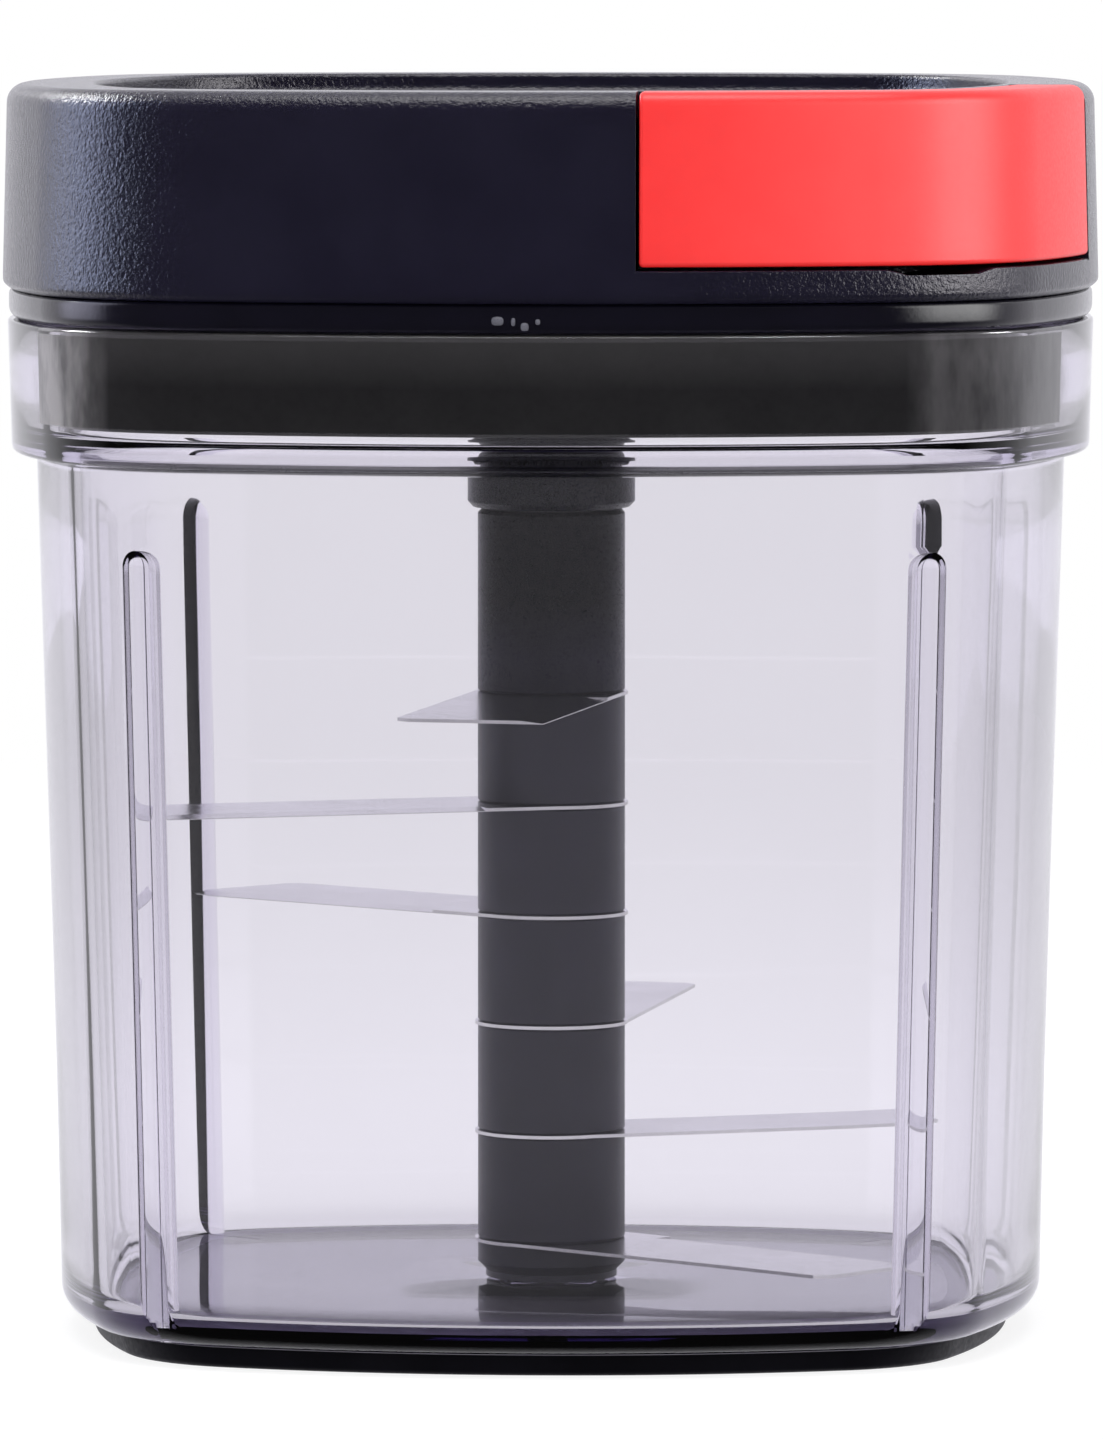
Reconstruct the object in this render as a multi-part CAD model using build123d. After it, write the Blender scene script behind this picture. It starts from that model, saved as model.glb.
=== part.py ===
from build123d import *
import os
from math import atan2, cos, degrees, pi, radians, sin, sqrt

# Pull-cord food chopper. Millimetres, +Z up, origin at the centre of the base's underside.
# The front faces -Y. The pull handle sits in a pocket round the corner at +X, -Y.

# ---------------------------------------------------------------- driving dimensions
HEIGHT = 148.0          # base underside to the rim of the lid
LID_HALF = 65.0         # half width of the lid at its widest
BACK = 57.5             # each side arc has its centre this far beyond the axis
CORNER = 30.0           # corner arcs have their centres at (+-30, +-30)

PAD_TOP = 2.6           # non-slip base pad
PAD_HALF = 54.75
BOWL_FLOOR = 4.9        # inside floor of the bowl
BOWL_RIM = 120.3
SHOULDER = 107.2        # ledge inside the bowl at the foot of its collar

PLUG_BOTTOM = 109.1     # underside of the lid's plug
RING_LOW, RING_TOP = 120.45, 123.8    # the lid's neck ring, which rests on the bowl's rim
COVER_LOW = 123.9
PLATE_LOW, PLATE_TOP = 143.4, 145.6   # the recessed top of the lid

POCKET_FLOOR = 127.7    # pocket that the handle lies in
POCKET_X, POCKET_Y = 12.3, -16.3      # its two end walls
GAP = 0.4               # clearance round the handle
PULL = (1 / sqrt(2), -1 / sqrt(2))    # direction of pull, out through the corner

SHAFT_R = 8.75
BLADE_T = 0.4
BLADE_Z = [75.35, 62.2, 49.05, 35.9, 22.75, 9.6]
BLADE_DIR = [261.4, 201.4, 141.4, 81.4, 21.4, -38.6]
BLADE_R = 51.5
HEX_AF = 11.0           # hex core of the rotor, across flats
HEAD_AF = 11.4          # its driven head
SOCKET_AF = 12.0        # hex socket in the drive
HEX_TURN = 21.4         # the hexes are turned with the blades

CORD_R = 1.0
CORD_Z = 138.5
WIND_R = 25.05          # radius of the cord's centre line on the drum

os.makedirs("parts", exist_ok=True)


# ---------------------------------------------------------------- helpers
def plan(a, z):
    """Rounded square of half width a: four side arcs and four corner arcs, all tangent."""
    t = atan2(CORNER, BACK + CORNER)
    rs, rc = a + BACK, a - 35.0
    p0 = (-BACK + rs * cos(t), -rs * sin(t))
    p1 = (-BACK + rs * cos(t), rs * sin(t))
    m1 = (CORNER + rc * cos(pi / 4), CORNER + rc * sin(pi / 4))
    p2 = (rs * sin(t), -BACK + rs * cos(t))
    edges = []
    for k in range(4):
        c, s = [(1, 0), (0, 1), (-1, 0), (0, -1)][k]

        def turn(p):
            return (c * p[0] - s * p[1], s * p[0] + c * p[1], z)

        edges.append(Edge.make_three_point_arc(turn(p0), turn((a, 0)), turn(p1)))
        edges.append(Edge.make_three_point_arc(turn(p1), turn(m1), turn(p2)))
    return Wire(edges)


def block(*prof):
    """Solid through rounded-square sections (a, z) with z rising; a repeated z is a flat step."""
    groups, cur = [], [prof[0]]
    for p in prof[1:]:
        if abs(p[1] - cur[-1][1]) < 1e-6:
            groups.append(cur)
            cur = [p]
        else:
            cur.append(p)
    groups.append(cur)
    out = None
    for g in groups:
        s = Solid.make_loft([plan(a, z) for a, z in g], ruled=True)
        out = s if out is None else out + s
    return out


def arc(ac, zc, r, t0, t1, n=5):
    """Points (a, z) on a circle of radius r about (ac, zc), from angle t0 to t1 in degrees."""
    return [
        (ac + r * cos(radians(t0 + (t1 - t0) * k / n)), zc + r * sin(radians(t0 + (t1 - t0) * k / n)))
        for k in range(n + 1)
    ]


def edge_y(a, x):
    """Distance of the rounded square's side from the axis, at the offset x along that side."""
    return -BACK + sqrt((a + BACK) ** 2 - x * x)


def cyl(r, z0, z1, x=0.0, y=0.0):
    return Pos(x, y, (z0 + z1) / 2) * Cylinder(r, z1 - z0)


def cone(r0, z0, r1, z1):
    return Pos(0, 0, (z0 + z1) / 2) * Cone(r0, r1, z1 - z0)


def box(x0, x1, y0, y1, z0, z1):
    return Pos((x0 + x1) / 2, (y0 + y1) / 2, (z0 + z1) / 2) * Box(x1 - x0, y1 - y0, z1 - z0)


def hexbar(af, z0, z1, turn=HEX_TURN):
    return extrude(Pos(0, 0, z0) * Rot(0, 0, turn) * RegularPolygon(af / sqrt(3), 6), z1 - z0)


def rod(p, q, r):
    """Straight round bar between two points."""
    p, q = Vector(*p), Vector(*q)
    d = q - p
    return Solid.make_cylinder(r, d.length, Plane(origin=p, z_dir=d.normalized()))


def lathe(*pts):
    """Solid of revolution about Z from (r, z) points."""
    w = Polyline(*[(r, 0, z) for r, z in pts], close=True)
    return revolve(make_face(w), Axis.Z)


def swap(s):
    """Mirror image across the upright plane through the pull direction: x and -y change places."""
    return mirror(s, about=Plane(origin=(0, 0, 0), z_dir=(1 / sqrt(2), 1 / sqrt(2), 0)))


def save(name, shape):
    solids = shape.solids()
    out = solids[0] if len(solids) == 1 else Compound(children=list(solids))
    out.label = name
    export_step(out, f"parts/{name}.step")


QUADRANT = box(POCKET_X, 90, -90, POCKET_Y, 90, 190)


# ---------------------------------------------------------------- bowl
WALL_FOOT, WALL_HEAD = 55.8, 58.9                   # inner wall's distance from the axis, at the floor and the shoulder
outer = block(
    *arc(PAD_HALF + 0.6, PAD_TOP + 3.0, 3.0, -90, 0, 6),
    (58.85, 30), (59.7, 60), (61.0, 103.6), (61.2, 104.4), (61.9, 104.85), (63.0, 105.3), (63.7, 105.9), (64.0, 107.0),
    (64.43, 119.8), (64.3, 120.12), (64.0, BOWL_RIM),
)
cavity = block(*arc(WALL_FOOT - 3.0, BOWL_FLOOR + 3.0, 3.0, -90, 0, 5), (WALL_HEAD, SHOULDER + 0.4))
collar = block((61.5, SHOULDER), (61.5, BOWL_RIM + 1))
groove = block((45.0, PAD_TOP - 1), (45.0, 3.7)) - block((42.0, PAD_TOP - 2), (42.0, 4.5))
bowl = outer - cavity - collar - groove

# four rounded ribs stand in the corners, leaning with the wall, domed on top; the rear pair is deeper
RIB_HALF, RIB_TOP = 2.0, 94.8
RIBS = {"rear": (4.0, 3.0, 1.1), "front": (2.6, 1.8, -1.7)}     # depth, depth of the round, place along the corner
lean = (WALL_HEAD - WALL_FOOT) / (SHOULDER - BOWL_FLOOR)
spring = RIB_TOP - RIB_HALF
outline = box(-20, 20, -RIB_HALF, RIB_HALF, 0, spring) + Pos(0, 0, spring) * (Rot(0, 90, 0) * Cylinder(RIB_HALF, 40))
for k in range(4):
    turn = 45 + 90 * k
    depth, rnd, place = RIBS["rear" if k < 2 else "front"]
    off = place * (1 if k % 2 else -1)
    wall0 = CORNER * sqrt(2) + sqrt((WALL_FOOT - 35.0) ** 2 - place**2)
    sketch = Rectangle(depth - rnd + 1.0, 2 * RIB_HALF, align=(Align.MAX, Align.CENTER))
    sketch = Pos(1.0, 0) * sketch + Pos(-(depth - rnd), 0) * Ellipse(rnd, RIB_HALF)
    rib = Solid.extrude((Pos(wall0, off, 4.0) * sketch).face(), Vector(lean, 0, 1) * (RIB_TOP - 4.0))
    bowl = bowl + Rot(0, 0, turn) * (rib & (Pos(wall0, off, 0) * outline))
bowl = bowl + cyl(5.0, BOWL_FLOOR - 1, 6.2) - cyl(2.0, 3.6, 8)
save("bowl", bowl)

pad = block((53.7, 0), (54.4, 0.5), (54.7, 1.4), (PAD_HALF, PAD_TOP)) - block((46.5, -1), (46.5, 0.5))
pad = pad + (block((44.9, 1.0), (44.9, 3.6)) - block((42.1, 0.8), (42.1, 3.8)))
save("base_pad", pad)

pin = cyl(2.0, 3.6, 14.0)
pin = chamfer(pin.edges().sort_by(Axis.Z)[-1], 0.5)
save("spindle_pin", pin)


# ---------------------------------------------------------------- rotor
cup = cyl(3.8, 7.0, 16.0) - cyl(2.05, 6.0, 14.1)
cup = chamfer(cup.edges().filter_by(GeomType.CIRCLE).group_by(Axis.Z)[-1], 0.4)
save("foot_bush", cup)

core = hexbar(HEX_AF, 9.4, 96.8) - cyl(3.85, 9.0, 16.1)
head = hexbar(HEAD_AF, 96.8, 105.6) & cone(7.4, 96.8 - 0.001, 5.9, 105.6 + 0.001)
save("rotor_core", core + (hexbar(HEAD_AF, 96.8, 104.8) + head))

cap = lathe((0, 5.2), (7.8, 5.2), (7.8, 5.9), (SHAFT_R, 6.9), (SHAFT_R, 9.4), (0, 9.4))
cap = cap - cyl(5.3, 5, 6.6) - cyl(3.9, 6, 10)
save("end_cap", cap)


def sleeve(z0, z1, top=0.25, low=0.25):
    s = lathe((0, z0), (SHAFT_R - low, z0), (SHAFT_R, z0 + low), (SHAFT_R, z1 - top), (SHAFT_R - top, z1), (0, z1))
    return s - hexbar(HEX_AF + 0.08, z0 - 1, z1 + 1)


levels = sorted(BLADE_Z)
for k in range(5):
    save(f"spacer_{k + 1}", sleeve(levels[k] + BLADE_T / 2, levels[k + 1] - BLADE_T / 2))
save("top_sleeve", sleeve(levels[5] + BLADE_T / 2, 96.8, top=0.5))

# one flat blade: a straight arm 17.8 wide, its leading edge ground to a bevel
ARM = 8.9
tip_b = (BLADE_R * cos(radians(10)), BLADE_R * sin(radians(10)))
tip_a = (50.0 * cos(radians(10)), -50.0 * sin(radians(10)))
arm = make_face(Polyline((0, -ARM), (tip_a[0] - 1.5, tip_a[1]), (tip_a[0], tip_a[1] + 1.5),
                         (tip_b[0], tip_b[1]), (0, ARM), close=True))
flat = arm + Circle(9.1)
blade0 = extrude(flat, BLADE_T) - hexbar(HEX_AF + 0.08, -1, 1, 0)
wedge = extrude(
    Plane(origin=(11, 0, 0), x_dir=(0, 1, 0), z_dir=(1, 0, 0))
    * make_face(Polyline((ARM - 2.6, BLADE_T + 0.001), (ARM + 0.4, 0.05), (ARM + 0.4, 1), (ARM - 2.6, 1), close=True)),
    60,
)
blade0 = blade0 - wedge
for k, (z, t) in enumerate(zip(BLADE_Z, BLADE_DIR)):
    save(f"blade_{k + 1}", Pos(0, 0, z - BLADE_T / 2) * (Rot(0, 0, t) * blade0))


# ---------------------------------------------------------------- drive in the lid
socket = lathe(
    (0, 97.0), (9.35, 97.0), (9.95, 97.6), (9.95, 103.1), (9.1, 103.9), (8.4, 103.9), (8.4, 120.2), (0, 120.2)
)
socket = socket - hexbar(SOCKET_AF, 96, 106.8) - cyl(1.6, 112, 121)
save("drive_socket", socket)

TEETH, TOOTH_OUT, TOOTH_IN = 12, 14.0, 11.5
pts = []
for k in range(TEETH):
    t = 2 * pi * k / TEETH
    pts.append((TOOTH_IN * cos(t - 0.06), TOOTH_IN * sin(t - 0.06)))
    pts.append((TOOTH_OUT * cos(t), TOOTH_OUT * sin(t)))
wheel = extrude(Pos(0, 0, 120.3) * make_face(Polyline(*pts, close=True)), 5.0)
wheel = wheel - cyl(1.75, 119, 126) - cyl(3.6, 123.2, 126)
save("ratchet_wheel", wheel)
save("drive_screw", cyl(1.55, 112.2, 123.3) + cyl(3.4, 123.25, 125.1) - box(-2.4, 2.4, -0.4, 0.4, 124.3, 126)
     - box(-0.4, 0.4, -2.4, 2.4, 124.3, 126))

# pawls hang on two pins of the drum and drop behind a tooth; they push it anticlockwise
PIVOT_R = 18.0


def pawl_shape():
    """Pawl for the tooth whose flank faces clockwise at angle zero; its pivot lies clockwise."""
    px, py = PIVOT_R * cos(radians(-32)), PIVOT_R * sin(radians(-32))
    body = make_face(Polyline((px - 1.7, py - 1.2), (px + 1.9, py - 1.2), (14.7, -0.45), (12.4, -0.95),
                              (12.75, -2.8), close=True))
    s = extrude(Pos(0, 0, 121.0) * body, 3.8) + cyl(2.2, 121.0, 124.8, px, py)
    return s - cyl(1.25, 120, 126, px, py), (px, py)


pawl0, pivot = pawl_shape()
for k in range(2):
    save(f"pawl_{k + 1}", Rot(0, 0, 180 * k) * pawl0)

# drum: cup for the clock spring, groove for the cord, skirt round the pawls
drum = lathe(
    (5.05, 129.5), (21.0, 129.5), (21.0, 120.6), (23.0, 120.6), (23.0, 130.3), (31.5, 130.3), (31.5, 132.6),
    (23.95, 132.6), (23.95, 140.9), (31.5, 140.9), (31.5, 142.3), (22.2, 142.3), (22.2, 131.7), (8.0, 131.7),
    (8.0, 132.2), (5.05, 132.2),
)
save("cord_drum", drum)
pins = None
for k in range(2):
    c, s = (1, 0) if k == 0 else (-1, 0)
    q = cyl(1.2, 121.2, 129.5, c * pivot[0], c * pivot[1])
    pins = q if pins is None else pins + q
save("pawl_pins", pins)
wind = None
for z in (134.0, 136.1):
    ring = Pos(0, 0, z) * Torus(WIND_R, CORD_R)
    wind = ring if wind is None else wind + ring
save("cord_winding", wind)

save("spring_arbor", cyl(5.0, 128.9, 144.8) - cyl(1.5, 127, 139) - box(-0.4, 0.4, 0, 6, 132.0, 141.6))
save("arbor_washer", cyl(8.0, 128.2, 128.9) - cyl(1.6, 127, 130))
save("arbor_screw", cyl(1.45, 128.0, 138.5) + cyl(3.0, 126.6, 128.2) - box(-2.2, 2.2, -0.35, 0.35, 126, 127.3)
     - box(-0.35, 0.35, -2.2, 2.2, 126, 127.3))

# clock spring: a flat band in half circles whose centres step from side to side
T, PITCH, R0, HALVES = 0.35, 2.6, 6.2, 10
fwd, rev = [], []
for k in range(HALVES):
    r = R0 + PITCH / 2 * k
    cx = -PITCH / 4 if k % 2 == 0 else PITCH / 4
    sgn = 1 if k % 2 == 0 else -1
    for rr, lst in ((r + T / 2, fwd), (r - T / 2, rev)):
        p = (cx + sgn * rr, 0)
        m = (cx, sgn * rr)
        q = (cx - sgn * rr, 0)
        lst.append(Edge.make_three_point_arc((*p, 0), (*m, 0), (*q, 0)))
ends = [Edge.make_line(fwd[-1] @ 1, rev[-1] @ 1), Edge.make_line(rev[0] @ 0, fwd[0] @ 0)]
band = make_face(Wire(fwd + [ends[0]] + rev + [ends[1]]))
save("clock_spring", extrude(Pos(0, 0, 132.6) * band, 8.8))


# ---------------------------------------------------------------- lid
SLOPE = (LID_HALF - 64.4) / (HEIGHT - 124.8)


def skirt_a(z):
    return 64.4 + (HEIGHT - z) * SLOPE


cover_out = block(
    (64.1, COVER_LOW), (64.75, 124.3), (LID_HALF, 124.9),
    *arc(62.45, HEIGHT - 2.0, 2.0, 0, 90, 6),
)
cover = cover_out - block((54.0 - 1.2, PLATE_TOP), (54.0 - 0.5, PLATE_TOP + 0.15), (54.0 - 0.12, PLATE_TOP + 0.6),
                          (54.0, PLATE_TOP + 1.2), (54.0, HEIGHT - 0.4), (54.5, HEIGHT + 0.1))
inside = block((62.2, COVER_LOW - 1), (62.0, PLATE_TOP - 0.2)) - (
    block((56.4, PLATE_LOW), (56.4, PLATE_TOP + 3)))
# the pocket keeps its back wall, its two end walls and its floor
pocket_wall = (block((55.8, 100), (55.8, 160)) - block((54.0, 90), (54.0, 170)))
keep = box(POCKET_X - 1.8, 90, -90, POCKET_Y + 1.8, 90, 190)
pocket_shell = ((block((62.6, 124.9), (62.6, 146.5)) - block((54.0, 120), (54.0, 150))) & keep)
cover = cover - inside + pocket_shell
pocket = (block((90, POCKET_FLOOR), (90, 160)) - block((55.8, 120), (55.8, 170))) & QUADRANT
cover = cover - pocket

# finger notch in the pocket floor, near the corner
NOTCH_W, NOTCH_D, NOTCH_DIR = 12.0, 1.7, -48.0
nr = ((NOTCH_W / 2) ** 2 + NOTCH_D**2) / (2 * NOTCH_D)
nd = (cos(radians(NOTCH_DIR)), sin(radians(NOTCH_DIR)))
nz = POCKET_FLOOR - NOTCH_D + nr
cover = cover - (rod((63.5 * nd[0], 63.5 * nd[1], nz), (80 * nd[0], 80 * nd[1], nz), nr))

# bosses under the top plate take the lid screws; the middle one holds the spring arbor
POSTS = [(46, 22), (-46, 22), (-46, -22), (46, -22)]
for x, y in POSTS:
    cover = cover + cyl(3.2, COVER_LOW, PLATE_LOW + 0.4, x, y) - cyl(1.3, COVER_LOW - 1, 138, x, y)
cover = cover + cyl(7.5, 142.6, PLATE_LOW + 0.4) - cyl(5.0, 141, 144.8)
# way through the pocket's back wall for the cord's eyelet
cr = 42.426 + 55.8 - 35.0                              # pocket wall along the diagonal
u = PULL
cover = cover - rod(((cr - 6) * u[0], (cr - 6) * u[1], CORD_Z), ((cr + 1) * u[0], (cr + 1) * u[1], CORD_Z), 2.6)
save("lid_cover", cover)

eye = (rod(((cr - 2.5) * u[0], (cr - 2.5) * u[1], CORD_Z), (cr * u[0], cr * u[1], CORD_Z), 2.55)
       + rod(((cr - 3.3) * u[0], (cr - 3.3) * u[1], CORD_Z), ((cr - 2.3) * u[0], (cr - 2.3) * u[1], CORD_Z), 3.8))
eye = eye - rod(((cr - 5) * u[0], (cr - 5) * u[1], CORD_Z), ((cr + 2) * u[0], (cr + 2) * u[1], CORD_Z), 1.4)
save("cord_eyelet", eye)

# chassis: plug that closes the bowl, neck ring that lies on the bowl's rim
ch = block((59.4, PLUG_BOTTOM), (59.4, 109.5), (58.2, 109.5), (58.2, RING_LOW), (63.3, RING_LOW), (63.9, 120.8),
           (64.2, 121.4), (64.2, 123.2), (64.05, 123.6), (63.7, RING_TOP))
ch = ch - block((56.0, 111.3), (56.0, 130))
ch = ch + (block((61.4, RING_TOP - 0.3), (61.4, 124.7)) - block((60.0, RING_TOP - 2), (60.0, 130)))
ch = ch + lathe((0, PLUG_BOTTOM + 0.5), (0, 105.8), (9.9, 105.8), (21.5, PLUG_BOTTOM), (21.5, PLUG_BOTTOM + 0.5))
ch = ch + cyl(12.5, 110, 119.8)
ch = ch - cyl(10.05, 104, 125)
for x, y in POSTS:
    ch = ch + cyl(3.2, 110, RING_TOP, x, y) - cyl(1.6, 105, 130, x, y) - cyl(3.0, 100, 111.3, x, y)
save("lid_chassis", ch)
screws = None
for x, y in POSTS:
    q = cyl(1.25, 111.4, 136.5, x, y) + cyl(2.8, 109.4, 111.3, x, y) + cyl(1.25, 111.0, 112.0, x, y)
    q = q - box(x - 1.7, x + 1.7, y - 0.35, y + 0.35, 109, 110.3) - box(x - 0.35, x + 0.35, y - 1.7, y + 1.7, 109, 110.3)
    screws = q if screws is None else screws + q
save("lid_screws", screws)
save("drive_bush", lathe((8.45, 105.9), (10.0, 105.9), (10.0, 119.9), (8.45, 119.9)))

seal = block((59.6, 109.7), (59.9, 110.1), (59.9, 111.3), (61.15, 112.0), (61.15, 112.7), (59.9, 113.4), (59.9, 114.2),
             (61.15, 114.9), (61.15, 115.6), (59.9, 116.3), (59.9, 117.1), (61.15, 117.8), (61.15, 118.5),
             (59.9, 119.2), (59.9, 120.0), (59.6, 120.3))
seal = seal - block((58.25, 100), (58.25, 130))
save("seal_band", seal)

# cord: from the drum's tangent point to the eyelet, then out along the pull direction
run_r = WIND_R + 0.3
eye_r = cr - 3.7
ta = -pi / 4 - (pi / 2 - atan2(run_r, sqrt(eye_r**2 - run_r**2)))
q0 = (run_r * cos(ta), run_r * sin(ta), CORD_Z)
q1 = (eye_r * u[0], eye_r * u[1], CORD_Z)
save("cord_inner_run", rod(q0, q1, CORD_R))
hx = cr + 3.1
save("cord_outer_run", rod(((cr - 2.4) * u[0], (cr - 2.4) * u[1], CORD_Z), (hx * u[0], hx * u[1], CORD_Z), CORD_R))


# ---------------------------------------------------------------- pull handle
H0, H1 = POCKET_FLOOR + GAP, HEIGHT
WALL = 2.2
prof = [(skirt_a(H0) - 0.6, H0), (skirt_a(H0) - 0.15, H0 + 0.2), (skirt_a(H0 + 0.7), H0 + 0.7)]
prof += [(skirt_a(HEIGHT - 1.6), HEIGHT - 1.6)]
prof += arc(skirt_a(HEIGHT - 1.5) - 1.5, HEIGHT - 1.5, 1.5, 12, 90, 6)
grip = block(*prof) - block((55.8 + GAP, 100), (55.8 + GAP, 160))
grip = grip & box(POCKET_X + GAP, 90, -90, POCKET_Y - GAP, 90, 190)
room = block((skirt_a(H0 + WALL) - WALL, H0 + WALL), (skirt_a(H1 - WALL) - WALL, H1 - WALL))
room = room & box(POCKET_X + GAP + WALL, 90, -90, POCKET_Y - GAP - WALL, 90, 190)
grip = grip - room
SX = 28.0
y_in, y_out = -edge_y(58.3, SX - 2.7), -edge_y(62.9, SX)
post = rod((SX, y_in, CORD_Z), (SX, y_out, CORD_Z), 2.6)
grip = grip + post + swap(post)
hole = rod((SX, y_in + 2, CORD_Z), (SX, y_out + 0.9, CORD_Z), 1.05)
grip = grip - hole - swap(hole)
save("pull_handle", grip)

plate = block((58.2, H0 + WALL + 0.1), (58.2, H1 - WALL - 0.1)) - block((55.8 + GAP, 100), (55.8 + GAP, 160))
plate = plate & box(POCKET_X + GAP + WALL + 0.1, 90, -90, POCKET_Y - GAP - WALL - 0.1, 90, 190)
y_p = -edge_y(55.8 + GAP, SX)
sink = rod((SX, y_p + 3, CORD_Z), (SX, y_p - 1.0, CORD_Z), 2.3)
thru = rod((SX, y_p + 3, CORD_Z), (SX, y_p - 4.0, CORD_Z), 1.25)
plate = plate - sink - swap(sink) - thru - swap(thru)
plate = plate - rod(((cr - 1) * u[0], (cr - 1) * u[1], CORD_Z), ((cr + 4) * u[0], (cr + 4) * u[1], CORD_Z), 1.05)
save("handle_back", plate)
hs = rod((SX, y_p - 0.1, CORD_Z), (SX, y_p - 0.95, CORD_Z), 2.15) + rod((SX, y_p - 0.5, CORD_Z), (SX, y_out + 1.1, CORD_Z), 1.0)
hs = hs - (Pos(SX, y_p, CORD_Z) * Box(0.6, 1.0, 2.6)) - (Pos(SX, y_p, CORD_Z) * Box(2.6, 1.0, 0.6))
save("handle_screws", Compound(children=[hs.solids()[0], swap(hs).solids()[0]]))
kc = hx + 1.4
save("cord_knot", Pos(kc * u[0], kc * u[1], CORD_Z) * Sphere(1.9) - rod((0, 0, CORD_Z), (hx * u[0], hx * u[1], CORD_Z), 3.0))
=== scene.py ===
import math
import bmesh
import bpy
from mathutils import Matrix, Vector


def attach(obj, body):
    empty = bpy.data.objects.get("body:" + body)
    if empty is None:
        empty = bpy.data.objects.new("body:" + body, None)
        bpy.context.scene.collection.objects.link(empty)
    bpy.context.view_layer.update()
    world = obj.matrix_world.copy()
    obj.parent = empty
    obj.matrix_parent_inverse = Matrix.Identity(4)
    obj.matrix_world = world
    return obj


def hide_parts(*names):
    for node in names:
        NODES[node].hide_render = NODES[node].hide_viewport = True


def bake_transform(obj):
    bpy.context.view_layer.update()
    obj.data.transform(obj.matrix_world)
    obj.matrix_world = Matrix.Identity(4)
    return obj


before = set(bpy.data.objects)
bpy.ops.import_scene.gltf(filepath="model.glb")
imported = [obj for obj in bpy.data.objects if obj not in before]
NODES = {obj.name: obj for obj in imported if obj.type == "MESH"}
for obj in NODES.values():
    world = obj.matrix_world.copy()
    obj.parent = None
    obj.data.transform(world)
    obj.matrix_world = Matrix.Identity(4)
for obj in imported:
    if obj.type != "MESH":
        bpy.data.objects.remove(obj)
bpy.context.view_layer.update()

MM = 0.001
scene = bpy.context.scene
scene.view_settings.view_transform = "Standard"
scene.view_settings.look = "None"

# ------------------------------------------------------------------ camera
AZ, DIST, EYE, PITCH, LENS = 2.46, 1.449, 0.17565, 4.094, 304.5
cam_data = bpy.data.cameras.new("camera")
cam_data.lens = LENS
cam_data.sensor_width = 36.0
cam_data.clip_start, cam_data.clip_end = 0.05, 60.0
cam = bpy.data.objects.new("camera", cam_data)
scene.collection.objects.link(cam)
a_, p_ = math.radians(AZ), math.radians(PITCH)
cam.location = (math.sin(a_) * DIST, -math.cos(a_) * DIST, EYE)
look = Vector((-math.sin(a_) * math.cos(p_), math.cos(a_) * math.cos(p_), -math.sin(p_)))
cam.rotation_euler = look.to_track_quat("-Z", "Y").to_euler()
scene.camera = cam

# ------------------------------------------------------------------ the rounded square, in millimetres
BACK, CORNER = 57.5, 30.0
T0 = math.atan2(CORNER, BACK + CORNER)
N_DIR = [(0, -1), (1, 0), (0, 1), (-1, 0)]      # outward normals: front, right, rear, left
T_DIR = [(1, 0), (0, 1), (-1, 0), (0, -1)]


def col_side(k, frac=None, at=None, lo=None, hi=None):
    """A column on side k. frac runs from lo to hi, each None for the side's own end or a fixed offset."""
    def place(a):
        end = (a + BACK) * math.sin(T0)
        s0 = -end if lo is None else lo
        s1 = end if hi is None else hi
        s = at if at is not None else s0 + (s1 - s0) * frac
        e = -BACK + math.sqrt((a + BACK) ** 2 - s * s)
        n, t = N_DIR[k], T_DIR[k]
        return (n[0] * e + t[0] * s, n[1] * e + t[1] * s)
    return place


def col_corner(k, frac):
    """A column on the corner that follows side k."""
    base = math.atan2(N_DIR[k][1], N_DIR[k][0])
    ang = base + T0 + (math.pi / 2 - 2 * T0) * frac
    cx = CORNER * (N_DIR[k][0] + N_DIR[(k + 1) % 4][0])
    cy = CORNER * (N_DIR[k][1] + N_DIR[(k + 1) % 4][1])

    def place(a):
        return (cx + (a - 35.0) * math.cos(ang), cy + (a - 35.0) * math.sin(ang))
    return place


def columns(px=None, py=None, side=26, corner=26, fracs=None, extra=()):
    """Columns all the way round, anticlockwise from the front's left end. px and py put one exactly
    at that offset on the front and on the right side; extra puts more there, as (side, offset).
    Returns the columns and the marks' places."""
    cols, marks = [], {}
    for k in range(4):
        stops = [s for s in [(px, "px") if k == 0 else None, (py, "py") if k == 1 else None] if s and s[0] is not None]
        stops += [(off, None) for kk, off in extra if kk == k]
        stops.sort()
        edges = [(None, None)] + stops + [(None, None)]
        for i in range(len(edges) - 1):
            lo, hi = edges[i][0], edges[i + 1][0]
            l_, h_ = (-38 if lo is None else lo), (38 if hi is None else hi)
            n = max(1, round(side * (h_ - l_) / 76))
            for j in range(n):
                if j == 0 and lo is not None:
                    if edges[i][1]:
                        marks[edges[i][1]] = len(cols)
                    cols.append(col_side(k, at=lo))
                else:
                    cols.append(col_side(k, frac=j / n, lo=lo, hi=hi))
        fr = fracs[k] if fracs is not None else [j / corner for j in range(corner)]
        for f in fr:
            cols.append(col_corner(k, f))
    return cols, marks


def at(col, a):
    if a >= 40.0:
        return col(a)
    x, y = col(40.0)
    return (x * a / 40.0, y * a / 40.0)


def arc(ac, zc, r, t0, t1, n=5):
    return [(ac + r * math.cos(math.radians(t0 + (t1 - t0) * k / n)),
             zc + r * math.sin(math.radians(t0 + (t1 - t0) * k / n))) for k in range(n + 1)]


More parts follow.
